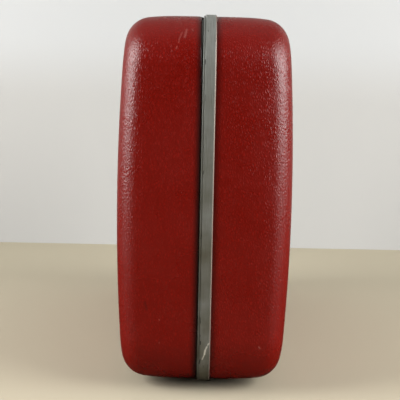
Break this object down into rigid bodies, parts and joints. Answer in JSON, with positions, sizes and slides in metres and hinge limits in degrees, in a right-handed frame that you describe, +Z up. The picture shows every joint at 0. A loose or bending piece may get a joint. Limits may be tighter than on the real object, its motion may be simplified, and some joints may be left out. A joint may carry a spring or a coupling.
{
  "type": "hard shell suitcase",
  "caption": "Hard shell suitcase: two moulded shells on a metal frame, hinged at the long side, with latches, folding handle, lid stays, feet and a lined interior.",
  "frame": {"origin": "on the ground, below the seam, at the middle of the closed case's length", "axes": "+X along the hinge, +Y from the seam to the base half, +Z up from the hinge side to the handle"},
  "size_m": [0.66, 0.2336, 0.4985],
  "materials": {
    "shell_plastic": "moulded with a pebbled leather grain, satin gloss",
    "frame_metal": "satin, dulled, with a bright worn bevel",
    "fitting_metal": "plated and polished, lightly worn",
    "pin_steel": "plated steel",
    "lining_cloth": "quilted satin lining cloth",
    "strap_webbing": "woven elastic webbing",
    "grip_plastic": "moulded with a fine leather grain",
    "foot_nylon": "moulded nylon"
  },
  "bodies": {
    "base": {"base_shell": "shell_plastic", "base_rail": "frame_metal", "base_lining": "lining_cloth", "base_rivets": "pin_steel", "base_fitting_rivets": "pin_steel", "hinge_base_leaf_left": "fitting_metal", "hinge_base_leaf_centre": "fitting_metal", "hinge_base_leaf_right": "fitting_metal", "hinge_pin_left": "pin_steel", "hinge_pin_centre": "pin_steel", "hinge_pin_right": "pin_steel", "handle_bracket_left": "fitting_metal", "handle_bracket_right": "fitting_metal", "handle_pins": "pin_steel", "lock_body_left": "fitting_metal", "lock_body_right": "fitting_metal", "stay_studs_base": "pin_steel", "foot_base_left": "foot_nylon", "foot_base_right": "foot_nylon", "strap_left": "strap_webbing", "strap_right": "strap_webbing", "strap_buckle_left": "fitting_metal", "strap_buckle_right": "fitting_metal", "strap_rivets": "pin_steel"},
    "lid": {"lid_shell": "shell_plastic", "lid_rail": "frame_metal", "lid_lining": "lining_cloth", "lid_rivets": "pin_steel", "lid_fitting_rivets": "pin_steel", "hinge_lid_leaf_left": "fitting_metal", "hinge_lid_leaf_centre": "fitting_metal", "hinge_lid_leaf_right": "fitting_metal", "hasp_base_left": "fitting_metal", "hasp_base_right": "fitting_metal", "hasp_pins": "pin_steel", "stay_studs_lid": "pin_steel", "foot_lid_left": "foot_nylon", "foot_lid_right": "foot_nylon", "lid_pocket": "lining_cloth", "lid_pocket_elastic": "strap_webbing"},
    "handle": {"handle_link_left": "fitting_metal", "handle_link_right": "fitting_metal", "handle_grip": "grip_plastic"},
    "lock_slider_left": {"lock_slider_left": "fitting_metal"},
    "lock_slider_right": {"lock_slider_right": "fitting_metal"},
    "key_cylinder_left": {"key_cylinder_left": "fitting_metal"},
    "key_cylinder_right": {"key_cylinder_right": "fitting_metal"},
    "hasp_left": {"hasp_left": "fitting_metal"},
    "hasp_right": {"hasp_right": "fitting_metal"},
    "stay_base_arm_left": {"stay_base_arm_left": "pin_steel"},
    "stay_base_arm_right": {"stay_base_arm_right": "pin_steel"},
    "stay_lid_arm_left": {"stay_lid_arm_left": "pin_steel", "stay_elbow_pin_left": "pin_steel"},
    "stay_lid_arm_right": {"stay_lid_arm_right": "pin_steel", "stay_elbow_pin_right": "pin_steel"}
  },
  "joints": [
    {"name": "lid_hinge", "type": "hinge", "parent": "base", "child": "lid", "pos_m": [0, 0, 0.0045], "axis": [1, 0, 0], "range_deg": [0, 95]},
    {"name": "stay_base_arm_left_pivot", "type": "hinge", "parent": "base", "child": "stay_base_arm_left", "pos_m": [-0.3194, 0.009, 0.1545], "axis": [1, 0, 0], "range_deg": [0, 95]},
    {"name": "stay_lid_arm_left_pivot", "type": "hinge", "parent": "lid", "child": "stay_lid_arm_left", "pos_m": [-0.3166, -0.009, 0.1545], "axis": [1, 0, 0], "range_deg": [-95, 0]},
    {"name": "hasp_left_hinge", "type": "hinge", "parent": "lid", "child": "hasp_left", "pos_m": [-0.14, -0.011, 0.4875], "axis": [1, 0, 0], "range_deg": [0, 100]},
    {"name": "lock_slider_left_slide", "type": "slide", "parent": "base", "child": "lock_slider_left", "axis": [1, 0, 0], "range_m": [0, 0.009]},
    {"name": "key_cylinder_left_turn", "type": "hinge", "parent": "base", "child": "key_cylinder_left", "pos_m": [-0.121, 0.0078, 0.4875], "axis": [0, 0, 1], "range_deg": [0, 90]},
    {"name": "stay_base_arm_right_pivot", "type": "hinge", "parent": "base", "child": "stay_base_arm_right", "pos_m": [0.3194, 0.009, 0.1545], "axis": [1, 0, 0], "range_deg": [0, 95]},
    {"name": "stay_lid_arm_right_pivot", "type": "hinge", "parent": "lid", "child": "stay_lid_arm_right", "pos_m": [0.3166, -0.009, 0.1545], "axis": [1, 0, 0], "range_deg": [-95, 0]},
    {"name": "hasp_right_hinge", "type": "hinge", "parent": "lid", "child": "hasp_right", "pos_m": [0.14, -0.011, 0.4875], "axis": [1, 0, 0], "range_deg": [0, 100]},
    {"name": "lock_slider_right_slide", "type": "slide", "parent": "base", "child": "lock_slider_right", "axis": [-1, 0, 0], "range_m": [0, 0.009]},
    {"name": "key_cylinder_right_turn", "type": "hinge", "parent": "base", "child": "key_cylinder_right", "pos_m": [0.121, 0.0078, 0.4875], "axis": [0, 0, 1], "range_deg": [0, 90]},
    {"name": "handle_fold", "type": "hinge", "parent": "base", "child": "handle", "pos_m": [0, 0.025, 0.4905], "axis": [1, 0, 0], "range_deg": [0, 95]}
  ],
  "couplings": [
    {"joint": "stay_base_arm_left_pivot", "follows": "lid_hinge", "ratio": 1},
    {"joint": "stay_lid_arm_left_pivot", "follows": "lid_hinge", "ratio": -1},
    {"joint": "stay_base_arm_right_pivot", "follows": "lid_hinge", "ratio": 1},
    {"joint": "stay_lid_arm_right_pivot", "follows": "lid_hinge", "ratio": -1}
  ]
}
